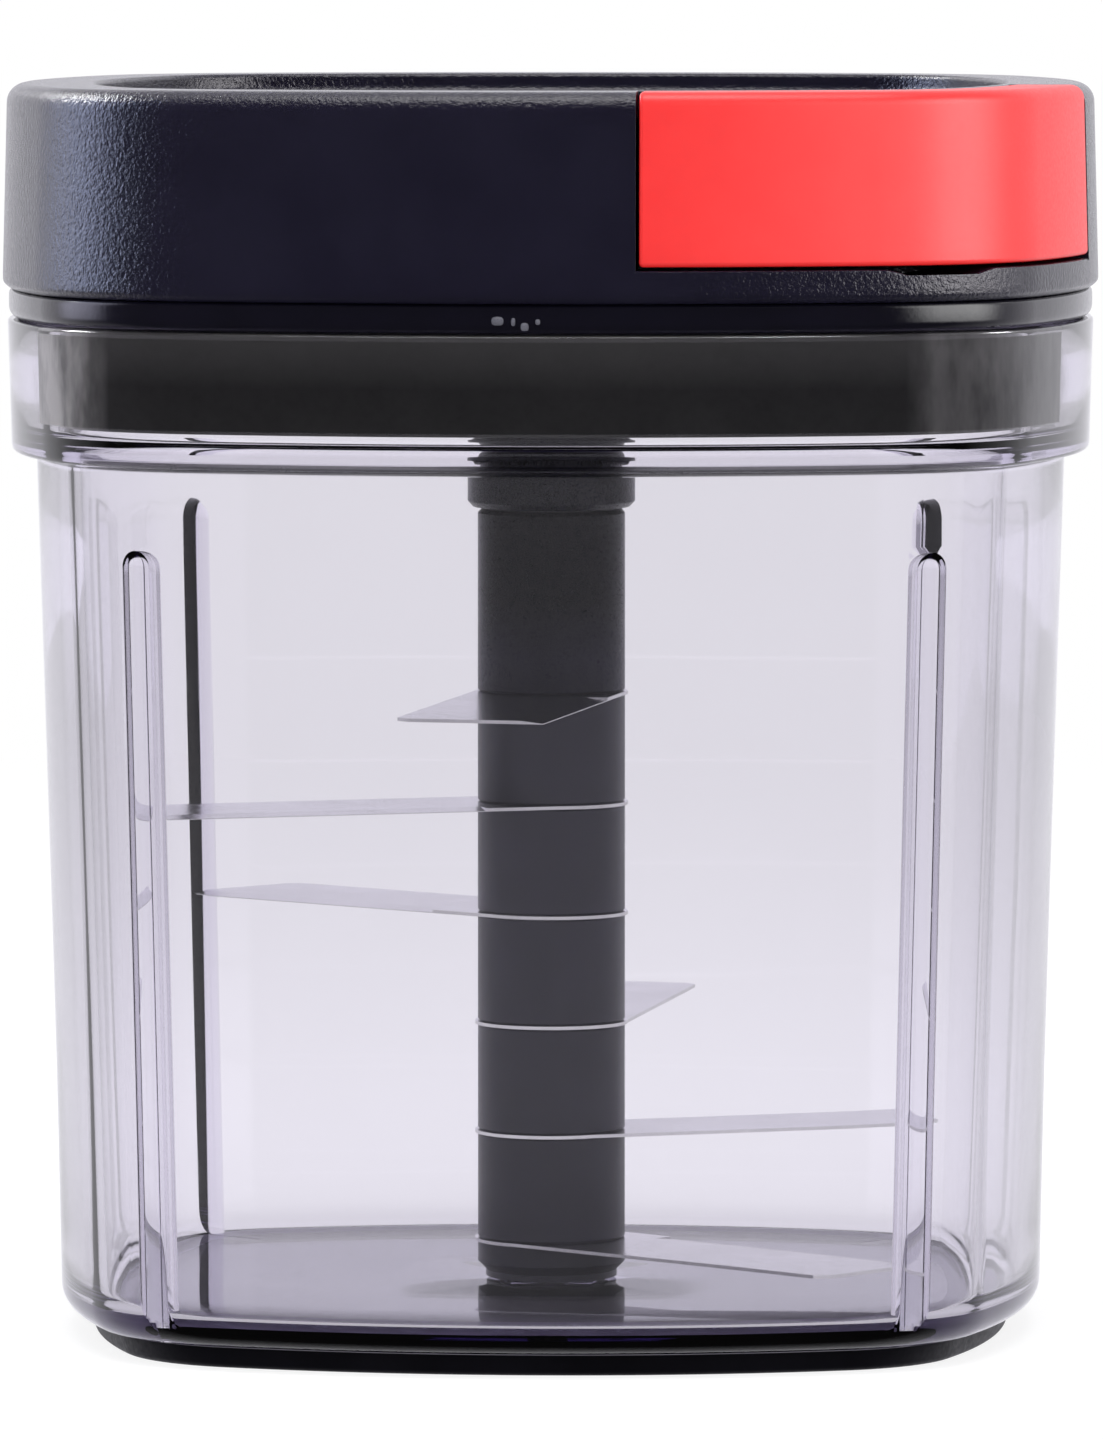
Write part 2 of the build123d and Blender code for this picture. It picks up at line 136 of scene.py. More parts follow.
def solid(name, sectors, cols, ring=True, warp=None, sharp=32.0):
    """Closed mesh through the columns. A sector is (first column, last column, closed (a, z) outline);
    where neighbouring outlines differ, a flat face in the column's plane closes the difference."""
    bm = bmesh.new()
    seen = {}
    count = len(cols)

    def vert(c, p):
        c %= count
        key = (-1 if abs(p[0]) < 1e-9 else c, round(p[0], 4), round(p[1], 4))
        if key not in seen:
            x, y = at(cols[c], p[0])
            z = p[1]
            if warp:
                x, y, z = warp(x, y, z, p)
            seen[key] = bm.verts.new((x * MM, y * MM, z * MM))
        return seen[key]

    def face(vs):
        out = []
        for v in vs:
            if not out or (v is not out[-1] and v is not out[0]):
                out.append(v)
        if len(out) > 2:
            try:
                bm.faces.new(out)
            except ValueError:
                pass

    def sides(loop):
        return {frozenset(((round(loop[i][0], 4), round(loop[i][1], 4)),
                           (round(loop[(i + 1) % len(loop)][0], 4), round(loop[(i + 1) % len(loop)][1], 4))))
                for i in range(len(loop))}

    def caps(c, loop_a, loop_b):
        left = (sides(loop_a) if loop_a else set()) ^ (sides(loop_b) if loop_b else set())
        left = {e for e in left if len(e) == 2}
        while left:
            e = left.pop()
            p, q = tuple(e)
            chain = [p, q]
            while chain[-1] != chain[0]:
                nxt = [f for f in left if chain[-1] in f]
                if not nxt:
                    break
                left.discard(nxt[0])
                (r,) = nxt[0] - {chain[-1]}
                chain.append(r)
            face([vert(c, r) for r in chain[:-1]])

    for c0, c1, loop in sectors:
        for c in range(c0, c1):
            for i in range(len(loop)):
                p, q = loop[i], loop[(i + 1) % len(loop)]
                if abs(p[0]) < 1e-9 and abs(q[0]) < 1e-9:
                    continue
                face([vert(c, p), vert(c + 1, p), vert(c + 1, q), vert(c, q)])
    if ring and len(sectors) > 1:
        for i in range(len(sectors)):
            nxt = sectors[(i + 1) % len(sectors)]
            caps(sectors[i][1], sectors[i][2], nxt[2])
    elif not ring:
        caps(sectors[0][0], None, sectors[0][2])
        for i in range(len(sectors) - 1):
            caps(sectors[i][1], sectors[i][2], sectors[i + 1][2])
        caps(sectors[-1][1], sectors[-1][2], None)
    return finish_mesh(name, bm, sharp)


def finish_mesh(name, bm, sharp=32.0):
    bmesh.ops.recalc_face_normals(bm, faces=bm.faces)
    lim = math.radians(sharp)
    for e in bm.edges:
        if len(e.link_faces) == 2:
            e.smooth = e.calc_face_angle(0.0) < lim
    for f in bm.faces:
        f.smooth = True
    mesh = bpy.data.meshes.new(name)
    bm.to_mesh(mesh)
    bm.free()
    obj = bpy.data.objects.new(name, mesh)
    scene.collection.objects.link(obj)
    return obj


def weighted(obj):
    m = obj.modifiers.new("normals", "WEIGHTED_NORMAL")
    m.keep_sharp = True
    m.weight = 70
    return obj


def bevel(obj, width, segments=2, angle=50):
    m = obj.modifiers.new("edges", "BEVEL")
    m.width, m.segments, m.limit_method = width * MM, segments, "ANGLE"
    m.angle_limit = math.radians(angle)
    m.use_clamp_overlap = True
    return obj


# ------------------------------------------------------------------ materials
def new_mat(name):
    m = bpy.data.materials.new(name)
    m.use_nodes = True
    nt = m.node_tree
    bsdf = next(n for n in nt.nodes if n.type == "BSDF_PRINCIPLED")
    return m, nt, bsdf


def noise(nt, coord, scale, detail=4.0, rough=0.55, stretch=None):
    tex = nt.nodes.new("ShaderNodeTexNoise")
    tex.inputs["Scale"].default_value = scale
    tex.inputs["Detail"].default_value = detail
    tex.inputs["Roughness"].default_value = rough
    src = coord
    if stretch:
        mp = nt.nodes.new("ShaderNodeMapping")
        mp.inputs["Scale"].default_value = stretch
        nt.links.new(coord, mp.inputs["Vector"])
        src = mp.outputs["Vector"]
    nt.links.new(src, tex.inputs["Vector"])
    return tex.outputs["Fac"]


def ramp(nt, fac, lo, hi, a, b):
    r = nt.nodes.new("ShaderNodeMapRange")
    r.inputs["From Min"].default_value, r.inputs["From Max"].default_value = lo, hi
    r.inputs["To Min"].default_value, r.inputs["To Max"].default_value = a, b
    nt.links.new(fac, r.inputs["Value"])
    return r.outputs["Result"]


def mix_colour(nt, fac, a, b):
    m = nt.nodes.new("ShaderNodeMix")
    m.data_type = "RGBA"
    m.inputs[6].default_value = (*a, 1)
    m.inputs[7].default_value = (*b, 1)
    nt.links.new(fac, m.inputs[0])
    return m.outputs[2]


def bump(nt, height, strength, distance, normal=None):
    b = nt.nodes.new("ShaderNodeBump")
    b.inputs["Strength"].default_value = strength
    b.inputs["Distance"].default_value = distance
    nt.links.new(height, b.inputs["Height"])
    if normal is not None:
        nt.links.new(normal, b.inputs["Normal"])
    return b.outputs["Normal"]


def plastic(name, dark, light, rough, spread, grain=0.0, grain_size=3000.0, wave=0.0, ior=1.5, coat=0.0,
            patch=120.0, lo=0.35, hi=0.65, depth=0.06):
    """Moulded plastic or rubber: colour varies between dark and light in soft patches, roughness by
    spread, with a fine moulded grain and a long shallow waviness in its surface."""
    m, nt, bsdf = new_mat(name)
    co = nt.nodes.new("ShaderNodeTexCoord").outputs["Object"]
    broad = noise(nt, co, patch, 3.0)
    nt.links.new(mix_colour(nt, ramp(nt, broad, lo, hi, 0, 1), dark, light), bsdf.inputs["Base Color"])
    fine = noise(nt, co, grain_size, 3.0, 0.6)
    nt.links.new(ramp(nt, fine, 0.3, 0.7, rough - spread, rough + spread), bsdf.inputs["Roughness"])
    bsdf.inputs["IOR"].default_value = ior
    bsdf.inputs["Coat Weight"].default_value = coat
    normal = None
    if wave:
        normal = bump(nt, noise(nt, co, 45.0, 2.0), wave, 0.0004)
    if grain:
        normal = bump(nt, fine, grain, depth * MM, normal)
    if normal is not None:
        nt.links.new(normal, bsdf.inputs["Normal"])
    return m


def steel(name, tint, rough, spread, stretch, scale=900.0, strength=0.12):
    m, nt, bsdf = new_mat(name)
    co = nt.nodes.new("ShaderNodeTexCoord").outputs["Object"]
    lines = noise(nt, co, scale, 3.0, 0.6, stretch)
    broad = noise(nt, co, 70.0, 2.0)
    nt.links.new(mix_colour(nt, ramp(nt, broad, 0.35, 0.65, 0, 1), tint, tuple(c * 0.88 for c in tint)),
                 bsdf.inputs["Base Color"])
    nt.links.new(ramp(nt, lines, 0.3, 0.7, rough - spread, rough + spread), bsdf.inputs["Roughness"])
    nt.links.new(bump(nt, lines, strength, 0.00003), bsdf.inputs["Normal"])
    bsdf.inputs["Metallic"].default_value = 1.0
    return m


LID = plastic("lid_plastic", (0.0058, 0.0050, 0.0120), (0.0076, 0.0067, 0.0150), 0.17, 0.04, grain=1.0, grain_size=1900,
              wave=0.10, depth=0.18)
RING = plastic("ring_plastic", (0.0025, 0.0022, 0.005), (0.0035, 0.003, 0.007), 0.15, 0.04, grain=0.2, grain_size=1700,
               wave=0.12)
# Painted glints: the ring's small lugs are coloured pale grey to stand in for the bright glints on them.
PAINTED_GLINT_LUG = plastic("lug_painted_glint", (0.09, 0.09, 0.11), (0.18, 0.18, 0.21), 0.30, 0.08, wave=0.12)
RED = plastic("red_plastic", (0.80, 0.0145, 0.0145), (0.84, 0.019, 0.018), 0.38, 0.05, grain=0.16, grain_size=2200,
              wave=0.10)


def place(nt, weights):
    """Sum of the coordinates' sizes, each times its weight, in metres from the object's own axis."""
    co = nt.nodes.new("ShaderNodeTexCoord").outputs["Object"]
    size = nt.nodes.new("ShaderNodeVectorMath")
    size.operation = "ABSOLUTE"
    nt.links.new(co, size.inputs[0])
    dot = nt.nodes.new("ShaderNodeVectorMath")
    dot.operation = "DOT_PRODUCT"
    nt.links.new(size.outputs[0], dot.inputs[0])
    dot.inputs[1].default_value = weights
    return dot.outputs["Value"]


def times(nt, a, b, how="MULTIPLY"):
    m = nt.nodes.new("ShaderNodeMath")
    m.operation = how
    m.use_clamp = True
    nt.links.new(a, m.inputs[0])
    nt.links.new(b, m.inputs[1])
    return m.outputs[0]


def overlay(mat, fac_of, colour):
    """Blends a second colour over the material's own where fac_of(node tree) says."""
    nt = mat.node_tree
    bsdf = next(n for n in nt.nodes if n.type == "BSDF_PRINCIPLED")
    old = bsdf.inputs["Base Color"].links[0].from_socket
    m = nt.nodes.new("ShaderNodeMix")
    m.data_type = "RGBA"
    nt.links.new(fac_of(nt), m.inputs[0])
    nt.links.new(old, m.inputs[6])
    m.inputs[7].default_value = (*colour, 1)
    nt.links.new(m.outputs[2], bsdf.inputs["Base Color"])
    return mat


SEAL = plastic("seal_rubber", (0.018, 0.018, 0.0155), (0.026, 0.026, 0.0225), 0.50, 0.10, grain=0.35, grain_size=900,
               wave=0.30, patch=110.0)


# Painted light on the gasket: the pale mottled patches at its left and right ends are painted reflections, and its
# upper edge is painted paler as if lit from above.
def painted_sheen_and_lit_top(nt):
    co = nt.nodes.new("ShaderNodeTexCoord").outputs["Object"]
    xyz = nt.nodes.new("ShaderNodeSeparateXYZ")
    nt.links.new(co, xyz.inputs[0])
    left = ramp(nt, xyz.outputs["X"], -0.0480, -0.0548, 0, 1)
    right = ramp(nt, xyz.outputs["X"], 0.0425, 0.0455, 0, 0.20)
    cloud = ramp(nt, noise(nt, co, 260.0, 3.0, 0.6, (1, 1, 0.4)), 0.34, 0.66, 0.30, 1.15)
    top = ramp(nt, place(nt, (0, 0, 1)), 0.1140, 0.1195, 0.0, 0.10)
    return times(nt, times(nt, times(nt, left, right, "ADD"), cloud), top, "ADD")


# pale colour of the painted reflections and of the painted lit top edge
overlay(SEAL, painted_sheen_and_lit_top, (0.72, 0.72, 0.655))
SHAFT = plastic("shaft_plastic", (0.0185, 0.017, 0.034), (0.025, 0.023, 0.044), 0.34, 0.06, grain=0.15, wave=0.15)
SLEEVE = plastic("sleeve_plastic", (0.0185, 0.017, 0.034), (0.025, 0.023, 0.044), 0.30, 0.06, grain=0.15, wave=0.15, ior=1.3)


# Painted shadow: the sleeve is darkened from 79.5 mm upwards, standing in for shade from the lid above it.
def painted_lid_shadow(nt):
    co = nt.nodes.new("ShaderNodeTexCoord").outputs["Object"]
    rise = ramp(nt, place(nt, (0, 0, 1)), 0.0795, 0.0865, 0.0, 1.0)
    return times(nt, rise, ramp(nt, noise(nt, co, 60.0, 3.0), 0.3, 0.7, 0.9, 1.0))


# near-black colour of the painted shadow on the sleeve's top
overlay(SLEEVE, painted_lid_shadow, (0.0012, 0.0012, 0.0032))
SOCKET = plastic("socket_plastic", (0.0045, 0.0045, 0.010), (0.008, 0.0075, 0.015), 0.28, 0.05, grain=0.06, wave=0.15, ior=1.36)
BASE = plastic("base_rubber", (0.0018, 0.0016, 0.004), (0.003, 0.0026, 0.006), 0.5, 0.08, grain=0.4, grain_size=1500, ior=1.3)


# Painted light: the black pad's upper face, inside the foot, is coloured pale as if lit from above.
def painted_lit_top_face(nt):
    inside = ramp(nt, place(nt, (1, 1, 0)), 0.088, 0.0885, 1, 0)
    return times(nt, inside, ramp(nt, place(nt, (0, 0, 1)), 0.00245, 0.00255, 0, 1))


# Painted highlight: a pale lavender line along the pad's raised top edge.
def painted_edge_highlight(nt):
    return ramp(nt, place(nt, (0, 0, 1)), 0.00262, 0.00264, 0, 1)


# pale colour of the painted light on the pad's upper face
overlay(BASE, painted_lit_top_face, (0.54, 0.52, 0.58))
# lavender colour of the painted highlight on the pad's top edge
overlay(BASE, painted_edge_highlight, (0.56, 0.52, 0.68))
PALE = plastic("acetal", (0.70, 0.70, 0.66), (0.76, 0.76, 0.72), 0.38, 0.05, grain=0.1)
BLADE = steel("blade_steel", (0.82, 0.81, 0.82), 0.20, 0.06, (1.0, 1.0, 1.0), scale=1400.0)
STEEL = steel("turned_steel", (0.62, 0.62, 0.64), 0.28, 0.07, (1.0, 1.0, 30.0))
SPRING = steel("spring_steel", (0.30, 0.33, 0.38), 0.3, 0.05, (1.0, 1.0, 0.2))


def clear_plastic():
    m, nt, bsdf = new_mat("clear_plastic")
    co = nt.nodes.new("ShaderNodeTexCoord").outputs["Object"]
    broad = noise(nt, co, 22.0, 2.0)
    nt.links.new(mix_colour(nt, ramp(nt, broad, 0.35, 0.65, 0, 1), (0.975, 0.972, 0.98), (0.985, 0.982, 0.99)),
                 bsdf.inputs["Base Color"])
    tint = nt.nodes.new("ShaderNodeVolumeAbsorption")
    tint.inputs["Color"].default_value = (0.42, 0.34, 0.60, 1)
    tint.inputs["Density"].default_value = 66.0
    out = next(n for n in nt.nodes if n.type == "OUTPUT_MATERIAL")
    nt.links.new(tint.outputs[0], out.inputs["Volume"])
    fine = noise(nt, co, 160.0, 2.0)
    nt.links.new(ramp(nt, fine, 0.35, 0.65, 0.0, 0.03), bsdf.inputs["Roughness"])
    bsdf.inputs["IOR"].default_value = 1.49
    bsdf.inputs["Transmission Weight"].default_value = 1.0
    nt.links.new(bump(nt, broad, 0.10, 0.0003), bsdf.inputs["Normal"])
    return m


CLEAR = clear_plastic()


def braid():
    """Woven nylon: one set of wave bands round the cord, in its colour and its bump."""
    m, nt, bsdf = new_mat("cord_nylon")
    co = nt.nodes.new("ShaderNodeTexCoord").outputs["Object"]
    w1 = nt.nodes.new("ShaderNodeTexWave")
    w1.inputs["Scale"].default_value = 700.0
    w1.inputs["Distortion"].default_value = 1.5
    nt.links.new(co, w1.inputs["Vector"])
    nt.links.new(mix_colour(nt, w1.outputs["Fac"], (0.62, 0.61, 0.58), (0.82, 0.81, 0.78)), bsdf.inputs["Base Color"])
    nt.links.new(bump(nt, w1.outputs["Fac"], 0.6, 0.00015), bsdf.inputs["Normal"])
    bsdf.inputs["Roughness"].default_value = 0.75
    bsdf.inputs["Sheen Weight"].default_value = 0.3
    return m


CORD = braid()


def dress(obj, mat, body=None, stands_for=()):
    obj.data.materials.clear()
    obj.data.materials.append(mat)
    if body:
        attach(obj, body)
    if stands_for:
        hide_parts(*stands_for)
    return obj


# ------------------------------------------------------------------ bowl
RIB_HALF, RIB_TOP = 2.0, 94.8
RIB_SPRING = RIB_TOP - RIB_HALF      # where the rib's domed end begins
# front pair and rear pair: how far the rib stands in, how much of that is its round, and its place along the corner
RIBS = {-1: (2.6, 1.8, -1.7), 1: (4.0, 3.0, 1.1)}
steps = [0, .2, .4, .55, .68, .78, .86, .92, .96, .985, 1.0, 1.024]
mid_r = 21.9
rib_fracs = []
for k in range(4):
    v0, turn = RIBS[-1 if k in (0, 3) else 1][2], (1 if k in (0, 2) else -1)
    at_v = {v0 + RIB_HALF * s * sign for s in steps for sign in (-1, 1)}
    fr = {round(0.5 + turn * math.asin(v / mid_r) / (math.pi / 2 - 2 * T0), 6) for v in at_v}
    lo, hi = min(fr), max(fr)
    fr |= {round(j / 22, 6) for j in range(22) if j / 22 < lo - 0.02 or j / 22 > hi + 0.02}
    rib_fracs.append(sorted(fr))
bowl_cols, _ = columns(side=34, fracs=rib_fracs)

outer = [(0, 2.63), (20, 2.63), (44, 2.63)]
outer += arc(55.35, 2.63 + 3.0, 3.0, -90, 0, 10)
outer += [(58.5, 13), (58.66, 21), (58.85, 30), (59.12, 40), (59.4, 50), (59.7, 60), (60.0, 70), (60.33, 81), (60.66, 92),
          (61.0, 103.3)]
outer += [(61.01, 104.0), (61.06, 104.3), (61.25, 104.5), (61.6, 104.58), (63.2, 104.62), (63.65, 104.72), (63.9, 105.0),
          (64.0, 105.5), (64.03, 107.2), (64.22, 114.0), (64.4, 119.7)]
outer += arc(63.95, 119.85, 0.45, 0, 90, 6)
inner = [(61.95, 120.3), (61.7, 120.24), (61.55, 120.1), (61.5, 119.85),
         (61.5, 114.0), (61.5, 108.4), (61.42, 107.95), (61.2, 107.6), (60.85, 107.35), (60.4, 107.22), (59.9, 107.2),
         (59.25, 107.05), (58.92, 106.6), (58.87, 106.0)]
LEAN = 3.05 / 101.1
zs = [95.6, RIB_SPRING + RIB_HALF * 1.024] + [RIB_SPRING + RIB_HALF * t for t in (1, 0.93, 0.84, 0.72, 0.58, 0.42, 0.22, 0)]
zs += [92.0, 80.0, 60.0, 40.0, 20.0, 10.0]
inner += [(55.8 + LEAN * (z - 4.9), z) for z in zs]
inner += arc(52.85, 7.9, 3.0, 0, -90, 8)
inner += [(44, 4.9), (20, 4.9), (6.2, 4.9), (5.4, 5.05), (5.0, 5.5), (4.95, 6.0), (4.7, 6.2), (0, 6.2)]


def ribs(x, y, z, p):
    """Pushes the inner wall in to a rounded rib along each corner's diagonal, domed at its top end."""
    a = p[0]
    if not (50.0 < a < 58.8 and 4.8 < z < 95.0 and p in inner_set) or abs(x) < 30 or abs(y) < 30:
        return x, y, z
    stand, round_in, v0 = RIBS[-1 if y < 0 else 1]
    v = (abs(x) - abs(y)) / math.sqrt(2) * mid_r / (a - 35.0)
    s, t = (v - v0) / RIB_HALF, max(0.0, (z - RIB_SPRING) / RIB_HALF)
    m = max(abs(s), t)
    if m > 1.03:
        return x, y, z
    if t > 0:
        s1, t1 = s / m, t / m
        s = m * s1 * math.sqrt(1 - t1 * t1 / 2)
        up = RIB_SPRING + RIB_HALF * m * t1 * math.sqrt(1 - s1 * s1 / 2)
        a += LEAN * (up - z)
        z = up
    v = v0 + RIB_HALF * s
    u = CORNER * math.sqrt(2) + math.sqrt((a - 35.0) ** 2 - v * v)
    if m < 1.001:
        wall = CORNER * math.sqrt(2) + math.sqrt((20.8 + LEAN * (z - 4.9)) ** 2 - v * v)
        u = min(u, wall - stand + round_in - round_in * math.sqrt(max(0.0, 1 - m * m)))
    k = 1 / math.sqrt(2)
    xx, yy = (u + v) * k, (u - v) * k
    return math.copysign(xx, x), math.copysign(yy, y), z


inner_set = set(inner)
bowl = solid("bowl_clear", [(0, len(bowl_cols), outer + inner)], bowl_cols, warp=ribs, sharp=38)
dress(bowl, CLEAR, "bowl", ["bowl"])

# ------------------------------------------------------------------ base pad
plain, _ = columns(side=26, corner=22)
pad = [(0, 0.5), (20, 0.5), (46.2, 0.5), (46.5, 0.35), (46.7, 0.1), (47.0, 0.0), (53.3, 0.0)]
pad += arc(53.55, 0.9, 0.9, -90, -20, 5)
pad += [(54.65, 1.4), (54.76, 2.1), (54.78, 2.4), (54.74, 2.55), (54.6, 2.66), (50.0, 2.66), (49.7, 2.61), (44, 2.61),
        (20, 2.61), (0, 2.61)]
dress(weighted(solid("base_foot", [(0, len(plain), pad)], plain)), BASE, "bowl", ["base_pad"])

# ------------------------------------------------------------------ lid cover
PX, PY = 12.3, -16.3
cover_cols, cm = columns(PX, PY, side=40, corner=34)
SL = 0.6 / 23.2


def skirt(z):
    return 64.4 + (148.0 - z) * SL


low = [(62.2, 124.1), (62.35, 123.95), (62.6, 123.9), (63.8, 123.9), (64.1, 123.93), (64.4, 124.1), (64.7, 124.35),
       (64.9, 124.6), (64.98, 124.9), (skirt(125.6), 125.6), (skirt(127.0), 127.0)]
rim = [(55.35, 148.0), (54.55, 148.0), (54.3, 147.93), (54.08, 147.72), (54.0, 147.45), (54.0, 146.7), (53.93, 146.3),
       (53.7, 145.92), (53.35, 145.68), (52.9, 145.6), (48.0, 145.6), (20, 145.6), (0, 145.6)]
under = [(0, 143.4), (20, 143.4), (52.0, 143.4)]
a_top = arc(skirt(145.7) - 2.3, 145.7, 2.3, 0, 90, 10)
loop_a = low + [(skirt(z), z) for z in (127.4, 127.7, 130, 134, 138, 142, 144.8)] + a_top + [(58.0, 148.0)] + rim
loop_a += under + [(56.2, 143.4), (56.2, 145.0), (61.9, 145.0), (62.1, 130.0)]
shelf = [(skirt(127.4), 127.4), (skirt(127.5) - 0.06, 127.58), (skirt(127.6) - 0.2, 127.67), (skirt(127.7) - 0.4, 127.7),
         (60.0, 127.7), (56.3, 127.7), (56.05, 127.75), (55.87, 127.9), (55.8, 128.15), (55.8, 147.7), (55.73, 147.9),
         (55.55, 147.98)]
loop_b = low + shelf + rim + under + [(53.8, 143.4), (53.9, 124.95), (62.1, 124.9)]


def notch(x, y, z, p):
    """Finger dip in the ledge under the handle."""
    if 127.3 < z < 127.75 and 55.0 < p[0] < 66.0 and x > 5 and y < -5:
        ang = math.degrees(math.atan2(y, x))
        s = math.radians(ang + 48.8) * 70.0
        f = 0.5 + 0.5 * math.cos(math.pi * min(1.0, abs(s) / 8.2))
        z -= 1.75 * f * (0.45 if p[0] < 56.4 else 1.0)
    return x, y, z


n_c = len(cover_cols)
cover = solid("lid_cover_shell", [(cm["px"], cm["py"], loop_b), (cm["py"], n_c + cm["px"], loop_a)], cover_cols,
              warp=notch, sharp=34)
bevel(cover, 0.22, 2, 60)
weighted(cover)
dress(cover, LID, "lid", ["lid_cover"])

# ------------------------------------------------------------------ pull handle
GX, GY = 12.7, -16.7
grip_cols, gm = columns(GX, GY, side=60, corner=44, extra=[(0, 14.9), (1, -18.9)])
g0, g1 = gm["px"], gm["py"]
H0, H1 = 128.1, 148.0
front = [(56.2, H0), (60.0, H0), (skirt(H0) - 0.7, H0)]
front += arc(skirt(H0 + 0.6) - 0.6, H0 + 0.6, 0.6, -75, 0, 4)
front += [(skirt(z), z) for z in (130.0, 133, 136, 139, 142, 145)]
front += arc(skirt(146.4) - 1.6, 146.4, 1.6, 0, 90, 8)
front += [(60.0, H1), (57.0, H1)] + arc(56.7, H1 - 0.5, 0.5, 90, 180, 3)
solid_back = [(56.2, 145.8), (56.2, 130.3)]
room = [(56.2, 145.8), (58.3, 145.8), (58.3, 130.3), (56.2, 130.3)]
ex0, ex1 = None, None
for i in range(g0, g1 + 1):
    x, y = grip_cols[i](60.0)
    if ex0 is None and abs(x - 14.9) < 1e-6:
        ex0 = i
    if abs(y + 18.9) < 1e-6 and x > 40:
        ex1 = i
grip = solid("handle_grip", [(g0, ex0, front + solid_back), (ex0, ex1, front + room), (ex1, g1, front + solid_back)],
             grip_cols, ring=False, sharp=34)
bevel(grip, 0.45, 3, 55)
weighted(grip)
dress(grip, RED, "handle", ["pull_handle"])

# ------------------------------------------------------------------ neck ring, lugs and seal
ring_loop = [(58.3, 120.4), (62.9, 120.4), (63.2, 120.41), (63.45, 120.47), (63.8, 120.66), (64.05, 120.95), (64.2, 121.3),
             (64.26, 121.7), (64.27, 122.4), (64.26, 123.15), (64.2, 123.45), (64.05, 123.68), (63.8, 123.82),
             (63.5, 123.86), (61.5, 123.86), (61.45, 124.6), (60.0, 124.6), (58.3, 124.0)]
lugs = bmesh.new()
for lx, lz, hw, hz in ((-3.4, 122.0, 0.75, 0.55), (-1.6, 121.9, 0.26, 0.5), (-0.3, 121.35, 0.48, 0.5), (1.2, 121.9, 0.3, 0.35)):
    rows = []
    for i in range(5):
        lat = math.radians(90 * i / 4)
        rr, out_ = math.cos(lat), math.sin(lat)
        ring_v = []
        for j in range(16):
            t = 2 * math.pi * j / 16
            x = lx + hw * rr * math.copysign(abs(math.cos(t)) ** 0.7, math.cos(t))
            z = lz + hz * rr * math.copysign(abs(math.sin(t)) ** 0.7, math.sin(t))
            y = -(-BACK + math.sqrt((64.1 + BACK) ** 2 - x * x)) - 0.42 * out_
            ring_v.append(lugs.verts.new((x * MM, y * MM, z * MM)) if i < 4 or j == 0 else None)
        rows.append(ring_v)
    for i in range(4):
        for j in range(16):
            k2 = (j + 1) % 16
            if i < 3:
                lugs.faces.new([rows[i][j], rows[i][k2], rows[i + 1][k2], rows[i + 1][j]])
            else:
                lugs.faces.new([rows[i][j], rows[i][k2], rows[4][0]])
    lugs.faces.new(rows[0][::-1])
lug = finish_mesh("neck_lugs", lugs, 60)

ring = solid("neck_ring", [(0, len(plain), ring_loop)], plain)
weighted(ring)
dress(ring, RING, "lid")
# the lugs take the pale colour of the painted glints
dress(lug, PAINTED_GLINT_LUG, "lid")

free = [(58.3, 109.75), (59.5, 109.72), (59.6, 108.9), (60.1, 108.7), (60.6, 108.75), (60.78, 109.2), (60.86, 111.6),
        (60.97, 112.3), (61.0, 113.0), (60.93, 113.8), (60.86, 114.6), (60.9, 115.3), (60.99, 116.0), (60.99, 116.8),
        (60.88, 117.6), (60.72, 118.4), (60.58, 119.2), (60.45, 119.7), (60.2, 120.1), (59.6, 120.25), (58.3, 120.28)]
# the gasket presses flat on the collar all round, but for the middle of the two sides, where it stands clear
tight = [(58.3, 109.75), (59.5, 109.73), (59.6, 108.8), (60.15, 108.6), (61.0, 108.6), (61.3, 108.68), (61.47, 108.85),
         (61.53, 109.1), (61.53, 111.5), (61.53, 114.0), (61.53, 117.0), (61.53, 119.4), (61.4, 119.85), (61.1, 120.12),
         (59.5, 120.26), (58.3, 120.28)]
seal = solid("seal_gasket", [(52, 70, free), (70, 145, tight), (145, 169, free), (169, 244, tight)], plain)
weighted(seal)
dress(seal, SEAL, "lid", ["seal_band"])

# ------------------------------------------------------------------ cord out of the eyelet, into the handle
U = (1 / math.sqrt(2), -1 / math.sqrt(2))
CORD_Z, CORD_R = 138.5, 1.0
r_in, r_out = 42.426 + 20.8 - 2.4, 42.426 + 20.8 + 3.1


def tube(name, r0, r1, rings, sides=20):
    bm = bmesh.new()
    n = Vector((U[0], U[1], 0))
    side, up = Vector((-U[1], U[0], 0)), Vector((0, 0, 1))
    rows = []
    for k in range(rings + 1):
        c = n * (r0 + (r1 - r0) * k / rings) + up * CORD_Z
        rows.append([bm.verts.new((c + side * (CORD_R * math.cos(t)) + up * (CORD_R * math.sin(t))) * MM)
                     for t in [2 * math.pi * j / sides for j in range(sides)]])
    for k in range(rings):
        for j in range(sides):
            bm.faces.new([rows[k][j], rows[k][(j + 1) % sides], rows[k + 1][(j + 1) % sides], rows[k + 1][j]])
    bm.faces.new(rows[0][::-1])
    bm.faces.new(rows[-1])
    return finish_mesh(name, bm, 50)


cord = tube("pull_cord", r_in, r_out, 120)
dress(cord, CORD, None, ["cord_outer_run"])
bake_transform(cord)

